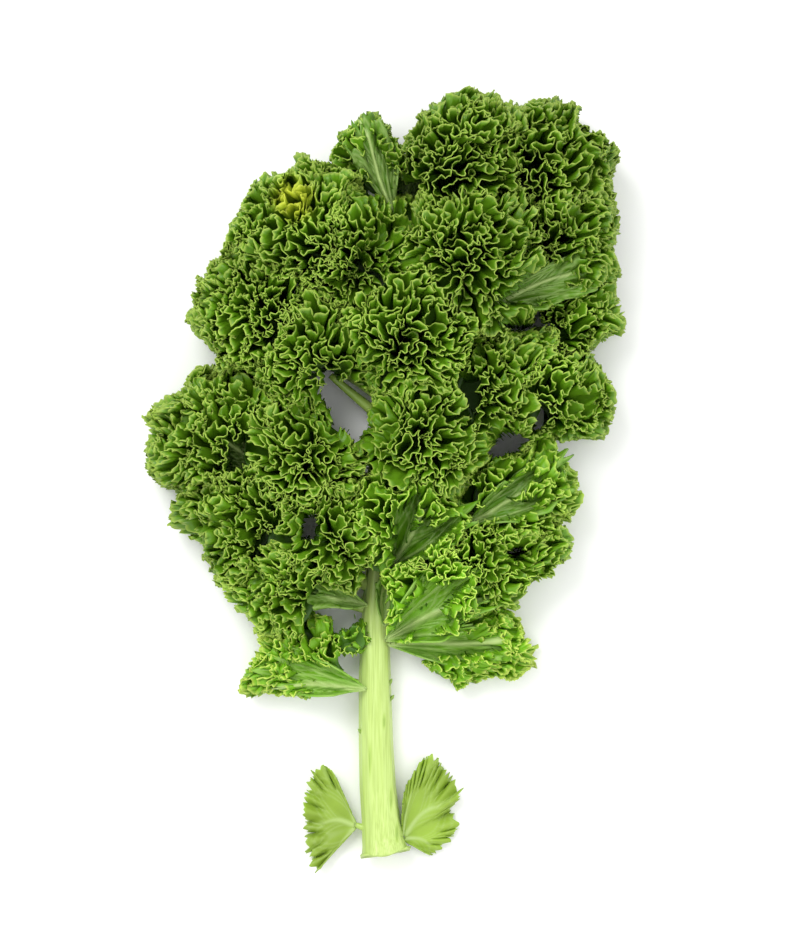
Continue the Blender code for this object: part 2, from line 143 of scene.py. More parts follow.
# Leaflets: places of their veins along the margin, and where they leave the stalk
LEAFLET_VEINS = (0.2, 0.5, 0.8)
LEAFLET_ROOTS = {"left_basal": (357, 829, 6), "right_basal": (402, 842, 6)}

# Lobes lighter or darker than the rest, and the grid place and radius of the yellowed patch
LIGHTER = {
    "right_1": 1.7, "right_2": 1.6, "left_1": 1.7, "left_2": 1.5, "right_4": 1.3, "right_5": 1.3,
    "right_3": 1.25, "left_3": 1.15, "right_7": 1.1, "right_12": 0.88, "right_14": 0.85, "right_13": 0.85,
    "right_11": 0.85,
}
YELLOW = (296, 206, 17)

# Stage in metres and watts: floor, sky, lamps with their place, power and side, and the camera, which
# sees the picture's height in grid steps at the focus height
FLOOR_HALF = 4.0
FLOOR_GREY = 0.95
SKY = 1.1
LAMPS = (("key", (-0.7, 0.9, 1.6), 20, 0.9), ("fill", (1.2, -0.4, 1.5), 6, 1.2))
CAMERA_HEIGHT = 1.9
FOCUS_HEIGHT = 0.02
PICTURE_HEIGHT = 945
PICTURE_MIDDLE = (397.0, 472.5)

# Wave field: wave length, shift in plan, rise, direction and two phases
WAVES = (
    (46.0, 1.6, 0.8, 0.4, 0.3, 2.1),
    (27.0, 1.6, 2.2, 1.9, 1.4, 0.2),
    (16.0, 1.2, 2.4, 2.7, 3.9, 5.0),
    (9.5, 0.7, 1.4, 0.9, 5.6, 1.2),
)

# Midrib: across, down (layout grid), height and radius in millimetres
MIDRIB = [
    (386, 858, 9.6, 10.4),
    (383, 842, 8.6, 9.2),
    (381, 820, 8.1, 8.6),
    (378, 790, 7.7, 8.2),
    (376, 740, 8.2, 7.7),
    (375, 680, 9.6, 7.2),
    (375, 640, 10.4, 6.7),
    (376, 600, 10.8, 5.8),
    (380, 550, 11.0, 5.0),
    (386, 490, 11.0, 4.4),
    (390, 430, 11.5, 3.8),
    (389, 370, 12.0, 3.3),
    (387, 310, 12.5, 2.8),
    (386, 250, 13.0, 2.3),
    (382, 200, 13.5, 1.8),
    (376, 165, 14.0, 1.2),
]

# Lobe: name, rib's start on the midrib, centre (grid, grid, mm), half sizes (out, across, up),
# tilt of its opening over the horizon and how far its blade spreads, in degrees
LOBES = [
    ("left_1", 692, (293, 656, 16), (32, 21, 17), 40, 115),
    ("left_2", 650, (348, 632, 20), (9, 8, 9), 45, 115),
    ("left_3", 612, (280, 590, 25), (31, 25, 23), 50, 115),
    ("left_4", 590, (238, 518, 21), (32, 28, 25), 52, 115),
    ("left_5", 560, (327, 535, 32), (30, 28, 26), 82, 122),
    ("left_6", 545, (212, 430, 23), (32, 34, 28), 52, 115),
    ("left_7", 500, (302, 452, 36), (35, 33, 29), 82, 122),
    ("left_8", 425, (318, 365, 40), (34, 32, 30), 82, 122),
    ("left_9", 400, (248, 305, 30), (29, 34, 33), 55, 116),
    ("left_10", 340, (297, 230, 42), (36, 36, 34), 62, 120),
    ("left_11", 215, (370, 160, 32), (23, 15, 20), 60, 115),
    ("left_12", 300, (362, 258, 30), (34, 34, 24), 82, 120),
    ("right_1", 640, (478, 645, 15), (30, 20, 17), 40, 115),
    ("right_2", 622, (440, 590, 28), (29, 26, 22), 75, 120),
    ("right_3", 600, (510, 560, 21), (30, 24, 23), 50, 115),
    ("right_4", 560, (408, 522, 34), (31, 30, 25), 85, 120),
    ("right_5", 560, (520, 492, 25), (32, 25, 25), 52, 115),
    ("right_6", 485, (422, 438, 40), (34, 33, 28), 85, 122),
    ("right_7", 462, (572, 400, 22), (22, 24, 25), 45, 116),
    ("right_8", 440, (503, 385, 36), (36, 32, 28), 60, 118),
    ("right_9", 392, (408, 340, 48), (40, 40, 34), 85, 122),
    ("right_10", 385, (584, 315, 20), (21, 20, 22), 40, 118),
    ("right_11", 345, (568, 240, 30), (27, 31, 27), 52, 116),
    ("right_12", 320, (474, 260, 46), (44, 40, 33), 82, 122),
    ("right_13", 285, (556, 164, 33), (31, 32, 34), 58, 118),
    ("right_14", 235, (468, 156, 42), (33, 32, 34), 65, 120),
]


# The two flat leaflets at the foot: name, rib's start on the grid, rib's end, then margin points
# in turn, each with grid x, grid y and height
LEAFLETS = (
    ("left_basal", 836, (351, 826, 6.0),
     ((341, 797, 9), (336, 780, 8), (326, 770, 6), (313, 778, 5), (308, 796, 4), (306, 818, 4),
      (307, 840, 4), (311, 858, 4), (317, 871, 3), (326, 862, 5), (335, 851, 6))),
    ("right_basal", 846, (407, 843, 6.0),
     ((402, 818, 8), (404, 797, 9), (412, 779, 8), (424, 763, 6), (436, 763, 6), (446, 776, 5),
      (458, 796, 4), (452, 812, 4), (457, 832, 4), (444, 846, 4), (432, 857, 4), (418, 851, 5))),
)


def unit(v):
    return v / np.linalg.norm(v, axis=-1, keepdims=True)


def place(across, down, height):
    """A point of the layout grid in millimetres."""
    return np.array([(across - GRID_MIDDLE[0]) * STEP, (GRID_MIDDLE[1] - down) * STEP, height])


def midrib_at(down):
    """Centre and radius of the midrib at one line of the layout grid."""
    rows = np.array(MIDRIB, float)[::-1]
    across = np.interp(down, rows[:, 1], rows[:, 0])
    height = np.interp(down, rows[:, 1], rows[:, 2])
    radius = np.interp(down, rows[:, 1], rows[:, 3])
    return place(across, down, height), radius


class Lobe:
    """The room of one lobe: a shell seen from its rib's end, cut back from its neighbours."""

    def __init__(self, name, start, centre, half, tilt, spread, seed):
        self.name = name
        self.seed = seed
        self.base, self.base_radius = midrib_at(start)
        self.centre = place(*centre)
        self.out = unit((self.centre - self.base) * [1, 1, 0])
        side = np.cross([0, 0, 1.0], self.out)
        self.half = np.array(half, float)
        self.stretch = np.stack([self.out, side, [0, 0, 1.0]], 1) * self.half
        self.unstretch = np.linalg.inv(self.stretch)
        self.tilt = tilt
        self.low = tilt < 50
        self.opens_upwards = tilt > 70
        self.spread = spread
        self.planes = []
        angle = math.radians(tilt)
        back = np.array([-math.cos(angle), 0, -math.sin(angle)])
        self.set_root(self.centre + self.stretch @ (1.04 * back))

    def set_root(self, root):
        self.root = root
        start = self.unstretch @ (root - self.centre)
        self.reach = np.linalg.norm(start)
        self.pole = -start / self.reach

    def finish(self):
        """Fix how far round the blade may go, and keep only the cuts that reach the lobe."""
        c = np.linspace(1, -0.99, 400)
        square = (1 + self.reach * c) / np.sqrt(1 + self.reach ** 2 + 2 * self.reach * c + 1e-9)
        limit = math.pi
        if (square < GRAZE).any():
            limit = math.acos(c[np.argmax(square < GRAZE)])
        self.cap = min(math.radians(self.spread), limit)
        self.cuts = []
        for normal, at in self.planes:
            room = max(at - normal @ self.root, 0.3)
            if room < normal @ (self.centre - self.root) + self.size(normal):
                self.cuts.append((normal, room))

    def size(self, direction):
        return np.linalg.norm(self.stretch.T @ direction)

    def swell(self, n):
        """Directions lengthened so that the shell has the fullness of SQUARE."""
        level = np.hypot(n[:, 0], n[:, 1]) ** SQUARE + np.abs(n[:, 2]) ** SQUARE
        return n * level[:, None] ** (-1 / SQUARE)

    def reach_to(self, n):
        """Vectors from the rib's end to the shell, and the part of each that the cuts leave."""
        v = self.centre + self.swell(n) @ self.stretch.T - self.root
        part = np.ones(len(n))
        for normal, room in self.cuts:
            rise = v @ normal
            part = np.minimum(part, np.where(rise > 1e-9, room / np.maximum(rise, 1e-9), 1e9))
        return v, part

    def shell(self, n, share):
        v, part = self.reach_to(n)
        return self.root + share * part[:, None] * v, part

    def back(self, points, share, part):
        """Directions of points that have moved, kept within the lobe's own room."""
        v = (points - self.root) / (share * part[:, None])
        for again in range(2):
            n = unit((v + self.root - self.centre) @ self.unstretch.T)
            v = self.centre + self.swell(n) @ self.stretch.T - self.root
            for normal, room in self.cuts:
                over = np.maximum(v @ normal - room, 0)
                if over.any():
                    v = v - 1.05 * over[:, None] * normal
        n = unit((v + self.root - self.centre) @ self.unstretch.T)
        c = n @ self.pole
        outside = c < math.cos(self.cap)
        if outside.any():
            round_it = unit(n[outside] - c[outside, None] * self.pole)
            n[outside] = math.cos(self.cap) * self.pole + math.sin(self.cap) * round_it
        return n

    def area(self, samples=2500):
        """Area of the shell that the margin can cover."""
        k = np.arange(samples) + 0.5
        z = 1 - 2 * k / samples
        a = math.pi * (1 + 5 ** 0.5) * k
        ring = np.sqrt(1 - z * z)
        n = np.stack([ring * np.cos(a), ring * np.sin(a), z], 1)
        n = n[n @ self.pole > math.cos(self.cap)]
        n = n[self.reach_to(n)[1] > 0.98]
        u = unit(np.cross(n, [0.3, 0.5, 0.8]))
        w = np.cross(n, u)
        tiny = 1e-3
        p = self.shell(n, 1)[0]
        du = (self.shell(unit(n + tiny * u), 1)[0] - p) / tiny
        dw = (self.shell(unit(n + tiny * w), 1)[0] - p) / tiny
        return np.linalg.norm(np.cross(du, dw), axis=1).sum() * 4 * math.pi / samples


def cut_between(lobes):
    """Upright cuts between neighbouring lobes, shared by their sizes."""
    for i, a in enumerate(lobes):
        for b in lobes[i + 1:]:
            between = (b.centre - a.centre) * [1, 1, 0]
            m = unit(between)
            far = np.linalg.norm(between)
            size_a, size_b = a.size(m), b.size(m)
            if far > size_a + size_b + 2:
                continue
            at = m @ a.centre + far * size_a / (size_a + size_b)
            low, high = m @ a.root + 3.0, m @ b.root - 3.0
            at = (low + high) / 2 if low > high else min(max(at, low), high)
            half_gap = (WALL + CLEARANCE) / 2
            a.planes.append((m, at - half_gap))
            b.planes.append((-m, -at - half_gap))


def rib_line(lobe, count=24):
    """Points and radii along the rib that runs from the midrib to a lobe."""
    t = np.linspace(0, 1, count)
    points = lobe.base + t[:, None] * (lobe.root - lobe.base)
    return points, lobe.rib * (1 - 0.5 * t)


def cut_over_ribs(lobes):
    """Each blade ends above the ribs that pass under it, or above the ground."""
    midrib = [midrib_at(down) for down in np.linspace(160, 858, 120)]
    mid_points = np.array([p for p, r in midrib])
    mid_radii = np.array([r for p, r in midrib])
    for lobe in lobes:
        lobe.rib = 1.6 + 0.035 * np.linalg.norm(lobe.root - lobe.base)
    for lobe in lobes:
        lift = WALL / 2
        lines = [(mid_points, mid_radii, True)]
        for other in lobes:
            if other is not lobe:
                lines.append(rib_line(other) + (False,))
        for points, radii, is_midrib in lines:
            local = (points - lobe.centre) @ lobe.unstretch.T
            inside = np.hypot(local[:, 0], local[:, 1]) < 1 + radii / lobe.half[:2].min()
            for normal, at in lobe.planes:
                inside &= points @ normal < at + radii + WALL / 2 + CLEARANCE
            if not inside.any():
                continue
            if is_midrib and lobe.low:
                away = np.array([math.copysign(1.0, lobe.out[0]), 0, 0])
                at = (points[inside] @ away + radii[inside]).max() + WALL / 2 + CLEARANCE
                lobe.planes.append((-away, -at))
                short = at + 1.5 - lobe.root @ away
                if short > 0:
                    lobe.set_root(lobe.root + short * away)
            else:
                top = (points[inside, 2] + radii[inside]).max()
                lift = max(lift, top + WALL / 2 + CLEARANCE + 0.1)
        lobe.planes.append((np.array([0, 0, -1.0]), -lift))
        if lobe.root[2] < lift + 1.2:
            lobe.set_root(np.array([lobe.root[0], lobe.root[1], lift + 1.2]))


def plan_lobes():
    lobes = [Lobe(*row, seed=13 + k) for k, row in enumerate(LOBES)]
    cut_between(lobes)
    cut_over_ribs(lobes)
    for lobe in lobes:
        lobe.finish()
    return lobes


class Leaflet:
    """A flat leaflet at the foot of the stalk, spread like a fan from its rib's end."""

    def __init__(self, name, start, root, margin):
        self.name = name
        self.base, self.base_radius = midrib_at(start)
        self.root = place(*root)
        self.margin = np.array([place(*row) for row in margin])
        self.rib = 2.4


def along_points(points, count):
    """Points in even steps along a smooth line through the given ones."""
    full = np.concatenate([2 * points[:1] - points[1:2], points, 2 * points[-1:] - points[-2:-1]])
    t = np.linspace(0, len(points) - 1, count)
    k = np.minimum(t.astype(int), len(points) - 2)
    f = (t - k)[:, None]
    a, b, c, d = full[k], full[k + 1], full[k + 2], full[k + 3]
    return b + 0.5 * f * (c - a + f * (2 * a - 5 * b + 4 * c - d + f * (3 * (b - c) + d - a)))


def near_pairs(x, reach, rest):
    """Pairs of points of one margin that are closer than neighbouring folds may be."""
    cell = np.floor((x - x.min(0)) / reach).astype(np.int64) + 1
    span = cell.max(0) + 3
    key = (cell[:, 0] * span[1] + cell[:, 1]) * span[2] + cell[:, 2]
    order = np.argsort(key, kind="stable")
    keys = key[order]
    firsts, seconds = [], []
    for i in (-1, 0, 1):
        for j in (-1, 0, 1):
            base = key + (i * span[1] + j) * span[2]
            lo = np.searchsorted(keys, base - 1, "left")
            many = np.searchsorted(keys, base + 1, "right") - lo
            total = many.sum()
            if not total:
                continue
            first = np.repeat(np.arange(len(x)), many)
            start = np.repeat(np.cumsum(many) - many, many)
            second = order[np.arange(total) - start + np.repeat(lo, many)]
            keep = second - first > 1
            firsts.append(first[keep])
            seconds.append(second[keep])
    a, b = np.concatenate(firsts), np.concatenate(seconds)
    d = x[a] - x[b]
    dist = np.sqrt((d ** 2).sum(1))
    along = (b - a) * rest
    wanted = reach * np.sin(np.minimum(along / reach, math.pi / 2)) * TURN
    wanted[along > 1.6 * reach] = reach
    keep = dist < wanted
    return a[keep], b[keep], d[keep], dist[keep], wanted[keep]


def doubled(row):
    """A row of directions with one more halfway along each stretch."""
    out = np.empty((len(row) * 2 - 1, 3))
    out[::2] = row
    out[1::2] = (row[:-1] + row[1:]) / 2
    return unit(out)


def push_apart(x, spacing, rest):
    a, b, d, dist, wanted = near_pairs(x, spacing, rest)
    if not len(a):
        return
    push = d / (dist[:, None] + 1e-9) * ((wanted - dist) * 0.45)[:, None]
    hits = np.bincount(a, minlength=len(x)) + np.bincount(b, minlength=len(x))
    for c in range(3):
        moved = np.bincount(a, push[:, c], len(x)) - np.bincount(b, push[:, c], len(x))
        x[:, c] += moved / np.maximum(1, hits) ** 0.5


def grow(lobe, spacing, segment, rows, fullness, steps=200, bend=0.3, noise=0.03):
    """Grow a lobe's margin outwards: it lengthens faster than its room, so it folds."""
    rng = np.random.default_rng(lobe.seed)
    start = rows[0]
    full = fullness * lobe.area() / spacing
    side = unit(lobe.unstretch @ np.cross([0, 0, 1.0], lobe.out))
    side = unit(side - (side @ lobe.pole) * lobe.pole)
    half = min(lobe.cap * 0.92, math.radians(85))
    segments = full / segment
    doublings = max(0, int(math.log2(max(1, segments / 5))))
    count = max(4, int(math.ceil(segments / 2 ** doublings))) + 1
    angle = np.linspace(-half, half, count)[:, None]
    n = np.cos(angle) * lobe.pole + np.sin(angle) * side
    x, part = lobe.shell(n, start)
    first = np.linalg.norm(np.diff(x, axis=0), axis=1).sum()
    stops = {int(round((r - start) / (1 - start) * steps)) for r in rows}
    out = []
    for step in range(steps + 1):
        share = start + (1 - start) * step / steps
        grown = (share ** 2 - start ** 2) / (1 - start ** 2)
        length = first + max(0, full - first) * grown
        while length / (len(n) - 1) > segment * 1.001:
            n = doubled(n)
        rest = length / (len(n) - 1)
        x, part = lobe.shell(n, share)
        x = x + rng.normal(0, noise * rest, x.shape)
        for again in range(4):
            d = np.diff(x, axis=0)
            long = np.linalg.norm(d, axis=1, keepdims=True)
            pull = 0.45 * d * (1 - rest / np.maximum(long, 1e-9))
            x[:-1] += pull
            x[1:] -= pull
        k = max(1, int(round(0.3 * spacing / rest)))
        if len(x) > 2 * k + 1:
            x[k:-k] += bend * ((x[2 * k:] + x[:-2 * k]) / 2 - x[k:-k])
        if len(x) > 4:
            push_apart(x, spacing, rest)
        n = lobe.back(x, share, part)
        if step in stops:
            out.append(lobe.shell(n, share)[0])
    return out


def triangles_between(rows):
    """Triangles of a sheet whose rows may have different numbers of points."""
    faces = []
    base = 0
    for a, b in zip(rows[:-1], rows[1:]):
        n, m = len(a), len(b)
        i = j = 0
        while i < n - 1 or j < m - 1:
            step_inner = i < n - 1 and (i + 1) / (n - 1) <= (j + 1) / (m - 1) - 1e-9
            if j >= m - 1 or step_inner:
                faces.append((base + i, base + i + 1, base + n + j))
                i += 1
            else:
                faces.append((base + i, base + n + j + 1, base + n + j))
                j += 1
        base += n
    return faces


def tube_rings(points, radii, sides):
    """Rings of points round a line, the first side level with it."""
    rings = []
    for k, (p, r) in enumerate(zip(points, radii)):
        ahead = unit(points[min(k + 1, len(points) - 1)] - points[max(k - 1, 0)])
        side = unit(np.cross([0, 0, 1.0], ahead))
        up = np.cross(ahead, side)
        a = 2 * math.pi * np.arange(sides) / sides
        rings.append(p + r * (np.cos(a)[:, None] * side + np.sin(a)[:, None] * up))
    return np.array(rings)


def rib_points(lobe, count=4):
    """The line of one side rib, which ends just short of its blade."""
    points, radii = rib_line(lobe, count)
    ahead = unit(lobe.root - lobe.base)
    points[-1] = lobe.root - ahead * (radii[-1] + WALL / 2 + CLEARANCE)
    return points, radii


def midrib_line():
    line = [midrib_at(row[1]) for row in MIDRIB]
    return np.array([p for p, r in line]), np.array([r for p, r in line])


def torn(ring):
    """Set the broken end's ring back at its sides."""
    a = 2 * math.pi * np.arange(len(ring)) / len(ring)
    ring[:, 1] += 2.6 * np.cos(a) ** 2 + 0.7 * np.sin(3 * a)


def shift_to_frame(lobes):
    """Millimetres from the layout to the row frame, read from the stalk's own box."""
    rings = tube_rings(*midrib_line(), 10)
    torn(rings[0])
    corners = [rings.reshape(-1, 3)]
    for lobe in lobes + plan_leaflets():
        corners.append(tube_rings(*rib_points(lobe), 6).reshape(-1, 3))
    corners = np.concatenate(corners)
    low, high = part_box("stalk")
    shift = np.array([low[0], low[1]]) / MM - corners[:, :2].min(0)
    other = np.array([high[0], high[1]]) / MM - corners[:, :2].max(0)
    print("shift", shift, "from the far corner", other)
    return np.array([shift[0], shift[1], 0.0])


def plan_leaflets():
    return [Leaflet(*row) for row in LEAFLETS]


def smooth_noise(count, reach, rng):
    """Even noise of spread one, smooth over that many points."""
    reach = max(1, int(reach))
    raw = rng.normal(0, 1, count + 6 * reach)
    window = np.hanning(2 * reach + 1)
    out = np.convolve(raw, window / math.sqrt((window ** 2).sum()), "same")
    return out[3 * reach:3 * reach + count]


def vertex_normals(points, faces):
    a, b, c = points[faces[:, 0]], points[faces[:, 1]], points[faces[:, 2]]
    n = np.cross(b - a, c - a)
    total = np.zeros_like(points)
    for k in range(3):
        for axis in range(3):
            total[:, axis] += np.bincount(faces[:, k], n[:, axis], len(points))
    return total / (np.linalg.norm(total, axis=1, keepdims=True) + 1e-12)


def thick_sheet(points, faces, thickness):
    """Both faces and the rim of a sheet, as points and triangles."""
    used = np.unique(faces)
    index = np.zeros(len(points), int)
    index[used] = np.arange(len(used))
    points, faces, thickness = points[used], index[faces], thickness[used]
    half = (thickness / 2)[:, None] * vertex_normals(points, faces)
    count = len(points)
    edges = np.concatenate([faces[:, [0, 1]], faces[:, [1, 2]], faces[:, [2, 0]]])
    codes = edges[:, 0] * count + edges[:, 1]
    border = edges[~np.isin(codes, edges[:, 1] * count + edges[:, 0])]
    a, b = border[:, 0], border[:, 1]
    rim = np.concatenate([np.stack([a, b + count, b], 1), np.stack([a, a + count, b + count], 1)])
    solid = np.concatenate([points + half, points - half])
    return solid, np.concatenate([faces, faces[:, ::-1] + count, rim]), used


def mesh_object(name, points, faces, shift):
    mesh = bpy.data.meshes.new(name)
    points = (points + shift) * MM
    mesh.vertices.add(len(points))
    mesh.vertices.foreach_set("co", points.astype(np.float32).ravel())
    mesh.loops.add(faces.size)
    mesh.loops.foreach_set("vertex_index", faces.astype(np.int32).ravel())
    mesh.polygons.add(len(faces))
    mesh.polygons.foreach_set("loop_start", np.arange(0, faces.size, 3, dtype=np.int32))
    mesh.update(calc_edges=True)
    mesh.validate()
    mesh.shade_smooth()
    obj = bpy.data.objects.new(name, mesh)
    bpy.context.scene.collection.objects.link(obj)
    return obj


def add_attribute(obj, name, values):
    layer = obj.data.attributes.new(name, "FLOAT", "POINT")
    layer.data.foreach_set("value", values.astype(np.float32))


def own_height(lobe, points):
    """Height of a lobe's shell over points, how far out they lie and how steeply they face up."""
    local = (points - lobe.centre) @ lobe.unstretch.T
    out = np.hypot(local[:, 0], local[:, 1])
    top = (1 - np.minimum(out, 0.98) ** SQUARE) ** (1 / SQUARE)
    facing = local[:, 2] / (np.linalg.norm(local, axis=1) + 1e-9)
    return lobe.centre[2] + lobe.half[2] * top, out, facing


def spread_by(field, cells, keep):
    """The largest or smallest neighbour of every cell of a field within a disc."""
    result = field.copy()
    for i in range(-cells, cells + 1):
        for j in range(-cells, cells + 1):
            if i * i + j * j <= cells * cells:
                result = keep(result, np.roll(field, (i, j), (0, 1)))
    return result


class Puff:
    """The shared upper surface of the lobes that grow together as one puff."""

    def __init__(self, lobes):
        self.low = np.array([-150.0, -220.0])
        self.cell = 2.0
        across = self.low[0] + self.cell * np.arange(160)
        along = self.low[1] + self.cell * np.arange(225)
        x, y = np.meshgrid(across, along, indexing="ij")
        points = np.stack([x.ravel(), y.ravel(), np.zeros(x.size)], 1)
        height = np.zeros(x.size)
        for lobe in lobes:
            own, out, _ = own_height(lobe, points)
            height = np.maximum(height, np.where(out < 0.98, own, 0))
        field = height.reshape(x.shape)
        cells = int(CLOSING / self.cell)
        field = spread_by(spread_by(field, cells, np.maximum), cells, np.minimum)
        for again in range(2):
            field = (field + sum(np.roll(field, s, a) for s in (-1, 1) for a in (0, 1))) / 5
        self.field = field

    def at(self, points):
        u = (points[:, :2] - self.low) / self.cell
        i = np.clip(u.astype(int), 0, np.array(self.field.shape) - 2)
        f = u - i
        a, b = self.field[i[:, 0], i[:, 1]], self.field[i[:, 0] + 1, i[:, 1]]
        c, d = self.field[i[:, 0], i[:, 1] + 1], self.field[i[:, 0] + 1, i[:, 1] + 1]
        near = a * (1 - f[:, 0]) + b * f[:, 0]
        return near * (1 - f[:, 1]) + (c * (1 - f[:, 0]) + d * f[:, 0]) * f[:, 1]

    def raised(self, lobe, points, share):
        """Lift a lobe's points so that its shoulders meet the puff's surface."""
        own, _, facing = own_height(lobe, points)
        ease = np.clip((facing - 0.05) / 0.4, 0, 1)
        lift = np.clip(self.at(points) - own, 0, 24) * ease * ease * (3 - 2 * ease) * share ** 1.5
        points[:, 2] += lift


def plan_puffs(lobes):
    """Each lobe's puff, by the lobe's name."""
    puffs = {}
    for names in PUFFS:
        puff = Puff([lobe for lobe in lobes if lobe.name in names])
        for name in names:
            puffs[name] = puff
    return puffs


def uneven(points, upright):
    """Bend points by a smooth wave field, so that no lobe keeps a round outline."""
    x, y = points[:, 0], points[:, 1]
    moved = np.zeros_like(points)
    for length, plan, rise, a, b, c in WAVES:
        k = 2 * math.pi / length
        one = np.sin(k * (x * math.cos(a) + y * math.sin(a)) + b)
        two = np.sin(k * (x * math.cos(a + 1.3) + y * math.sin(a + 1.3)) + c)
        three = np.sin(k * (x * math.cos(a + 2.4) + y * math.sin(a + 2.4)) + b + c)
        moved[:, 0] += plan * one
        moved[:, 1] += plan * two
        moved[:, 2] += rise * (one * two + 0.6 * three - 0.9)
    for across, down, reach, push_x, push_y in PUSHES:
        near = np.exp(-((points[:, :2] - place(across, down, 0.0)[:2]) ** 2).sum(1) / (reach * STEP) ** 2)
        moved[:, 0] += near * push_x * STEP
        moved[:, 1] -= near * push_y * STEP
    points[:, :2] += moved[:, :2]
    points[:, 2] += moved[:, 2] * upright
    for across, down, half_x, half_y, turn, flare in OPENINGS:
        away = np.linalg.norm(points[:, :2] - place(across, down, 0.0)[:2], axis=1) / STEP
        points[:, 2] *= 1 - 0.45 * flare * np.exp(-(away / (2.0 * half_y)) ** 2)


def above_ground(points):
    """Press what hangs lower than 3 mm together above the ground, in its own order."""
    points[:, 2] = np.where(points[:, 2] > 3, points[:, 2], 3 * np.exp(np.minimum(points[:, 2] - 3, 0) / 3))


def left_standing(points, faces, fans):
    """The faces of a sheet that lie over no opening and don't cover a smooth stretch."""
    middle = points[faces].mean(1)
    gone = np.zeros(len(faces), bool)
    for across, down, half_x, half_y, turn, flare in OPENINGS:
        a = math.radians(turn)
        wider = 1 + flare * np.clip(1 - middle[:, 2] / 40, 0, 1)
        d = middle[:, :2] - place(across, down, 0.0)[:2]
        u = (d[:, 0] * math.cos(a) + d[:, 1] * math.sin(a)) / (half_x * STEP)
        w = (-d[:, 0] * math.sin(a) + d[:, 1] * math.cos(a)) / (half_y * STEP)
        angle = np.arctan2(w, u)
        rim = 1 + 0.15 * np.sin(3 * angle + across) + 0.1 * np.sin(7 * angle + down)
        gone |= np.hypot(u, w) < wider * rim
    for fan in fans:
        if fan.rise > 0.5:
            gone |= fan.covers(middle)
    return faces[~gone]


class Fan:
    """A smooth stretch of leaf that spreads from a rib's end and runs under the folds round it."""

    def __init__(self, row, puffs, seed):
        self.owner, root, tip, spread, self.rise, self.vein_at, self.rib, self.tone = row
        self.root = place(*root)
        ahead = place(*tip, 0.0)[:2] - self.root[:2]
        self.length = np.linalg.norm(ahead)
        self.axis = math.atan2(ahead[1], ahead[0])
        self.spread = math.radians(spread)
        self.seed = seed
        far = np.array([[*(self.root[:2] + 0.75 * ahead), 0.0]])
        self.top = max(self.rise * puffs[self.owner].at(far)[0], self.root[2])

    def reach(self, turn):
        part = np.clip(np.abs(turn) / self.spread, 0, 0.995)
        lobes = 1 + 0.09 * np.sin(7 * part + self.seed) + 0.06 * np.sin(17 * part + 2 * self.seed)
        return self.length * lobes * np.cos(part * math.pi / 2) ** 0.3

    def height(self, share, turn):
        """Height of the sheet, with soft pleats that run outwards."""
        part = turn / self.spread
        bend = part + 0.25 * np.sin(4 * share + self.seed)
        pleats = 1.5 * np.sin(4.4 * bend + self.seed) + 1.1 * np.sin(10 * bend + 2.1 * self.seed)
        sides = 4.5 * part ** 2 * share
        return self.root[2] + (self.top - self.root[2]) * share ** 0.8 + (pleats + sides) * share ** 0.8

    def covers(self, points):
        d = points[:, :2] - self.root[:2]
        turn = (np.arctan2(d[:, 1], d[:, 0]) - self.axis + math.pi) % (2 * math.pi) - math.pi
        share = np.hypot(d[:, 0], d[:, 1]) / self.reach(turn)
        edge = 0.74 * (1 + 0.16 * np.sin(9 * turn + self.seed) + 0.12 * np.sin(21 * turn + 2 * self.seed))
        side = self.spread * (0.8 + 0.15 * np.sin(14 * share + self.seed) + 0.08 * np.sin(31 * share))
        inside = (share < edge) & (np.abs(turn) < side)
        return inside & (points[:, 2] > self.height(np.minimum(share, 1), turn) - 1.6)

    def solid(self):
        """Points, triangles, tone on the colour ramp, whose dark end is painted shade, and nearness to a
        vein.
        """
        rings, spokes = 34, 120
        rng = np.random.default_rng(self.seed + 60)
        share, turn = np.meshgrid(np.linspace(0.03, 1, rings), np.linspace(-0.99, 0.99, spokes) * self.spread,
                                  indexing="ij")
        far = share * self.reach(turn)
        near = np.zeros(far.shape)
        for offset in (0.0, -0.62, 0.62, 1.1, -1.1):
            at = (self.vein_at + offset) * self.spread
            if abs(at) > 0.95 * self.spread:
                continue
            main = offset == 0.0
            gap = np.abs(turn - at - 0.05 * np.sin(5 * share + self.seed + offset)) * far
            width = (self.rib if main else 0.45 * self.rib) * (1.05 - 0.75 * share)
            near = np.maximum(near, (1.0 if main else 0.55) * np.exp(-(gap / width) ** 2))
            for begin in (0.15, 0.28, 0.4, 0.52, 0.64) if main else (0.4, 0.6):
                for way in (-1, 1):
                    late = share - begin - 0.04 * way
                    gap = np.abs(turn - at - way * 0.9 * self.spread * late) * far
                    near = np.maximum(near, (late > 0) * 0.4 * np.exp(-(gap / 0.4) ** 2))
        step = 2 * self.spread * self.length / spokes
        frill, tooth = [smooth_noise(spokes, size / step, rng) for size in (2.2, 0.8)]
        late = np.clip((share - 0.6) / 0.4, 0, 1)
        far = far * (1 + 0.05 * late ** 2 * tooth + 0.05 * late ** 2 * frill)
        swung = turn + late ** 2 * 1.3 * np.roll(frill, 5) / self.length
        x = self.root[0] + far * np.cos(self.axis + swung)
        y = self.root[1] + far * np.sin(self.axis + swung)
        blister = 0.4 * np.sin(24 * share + 16 * turn + self.seed) * np.sin(19 * share - 22 * turn)
        z = self.height(share, turn) + near * (0.4 + 1.3 * (1 - share)) + blister + 2.2 * late * frill
        points = np.stack([x, y, np.maximum(z, 0.6)], 2).reshape(-1, 3)
        faces = np.array(triangles_between(list(points.reshape(rings, spokes, 3))))
        solid, tris, _ = thick_sheet(points, faces, np.full(len(points), 0.8))
        # Tone on the colour ramp, lighter outwards; the low tones paint the shade of deep clefts
        tone = self.tone + 0.12 * share.ravel()
        return solid, tris, np.tile(tone, 2), np.tile(near.ravel(), 2)


